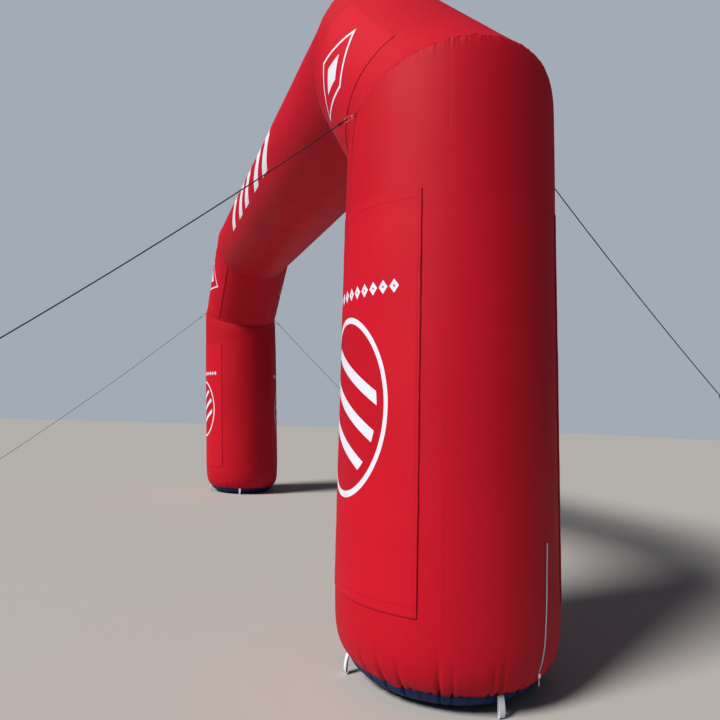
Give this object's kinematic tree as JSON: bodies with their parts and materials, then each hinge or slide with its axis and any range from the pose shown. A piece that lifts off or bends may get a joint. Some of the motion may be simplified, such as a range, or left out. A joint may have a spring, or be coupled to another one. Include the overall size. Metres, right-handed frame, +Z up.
{
  "type": "inflatable arch",
  "caption": "Blow-up event arch of sewn cloth: round legs, slanted shoulders and a level beam, with sewn banners, gathered feet, webbing loops and guy ropes.",
  "frame": {"origin": "middle of the standing arch's footprint, on the ground, ropes left out", "axes": "+X from the left leg to the right leg along the beam, +Y from the front to the back, +Z up"},
  "size_m": [8.4788, 7.151, 4.6176],
  "materials": {
    "red_cloth": "smooth woven cloth with a soft satin sheen",
    "banner_cloth": "printed cloth, satin",
    "blue_cloth": "heavier coated cloth, dull",
    "white_webbing": "woven strap, matte",
    "steel": "bright plated wire",
    "black_cord": "braided cord, matte",
    "zip_tape": "moulded zip teeth"
  },
  "bodies": {
    "root": {"banner_leg_left_back": "banner_cloth", "banner_leg_left_front": "banner_cloth", "banner_leg_right_back": "banner_cloth", "banner_leg_right_front": "banner_cloth", "banner_shoulder_left_back": "banner_cloth", "banner_shoulder_left_front": "banner_cloth", "banner_shoulder_right_back": "banner_cloth", "banner_shoulder_right_front": "banner_cloth", "beam": "red_cloth", "end_left_back": "black_cord", "end_left_front": "black_cord", "end_right_back": "black_cord", "end_right_front": "black_cord", "foot_left": "blue_cloth", "foot_right": "blue_cloth", "hitch_left_back": "black_cord", "hitch_left_front": "black_cord", "hitch_right_back": "black_cord", "hitch_right_front": "black_cord", "hook_left_back": "steel", "hook_left_front": "steel", "hook_right_back": "steel", "hook_right_front": "steel", "leg_left": "red_cloth", "leg_right": "red_cloth", "loop_left_back": "white_webbing", "loop_left_front": "white_webbing", "loop_left_inner": "white_webbing", "loop_left_outer": "white_webbing", "loop_right_back": "white_webbing", "loop_right_front": "white_webbing", "loop_right_inner": "white_webbing", "loop_right_outer": "white_webbing", "ring_left_back": "steel", "ring_left_front": "steel", "ring_right_back": "steel", "ring_right_front": "steel", "rope_left_back": "black_cord", "rope_left_front": "black_cord", "rope_right_back": "black_cord", "rope_right_front": "black_cord", "shoulder_left": "red_cloth", "shoulder_right": "red_cloth", "tab_left_back": "red_cloth", "tab_left_front": "red_cloth", "tab_right_back": "red_cloth", "tab_right_front": "red_cloth", "zip_chain": "zip_tape", "zip_pull": "zip_tape", "zip_slider": "steel"}
  },
  "joints": []
}
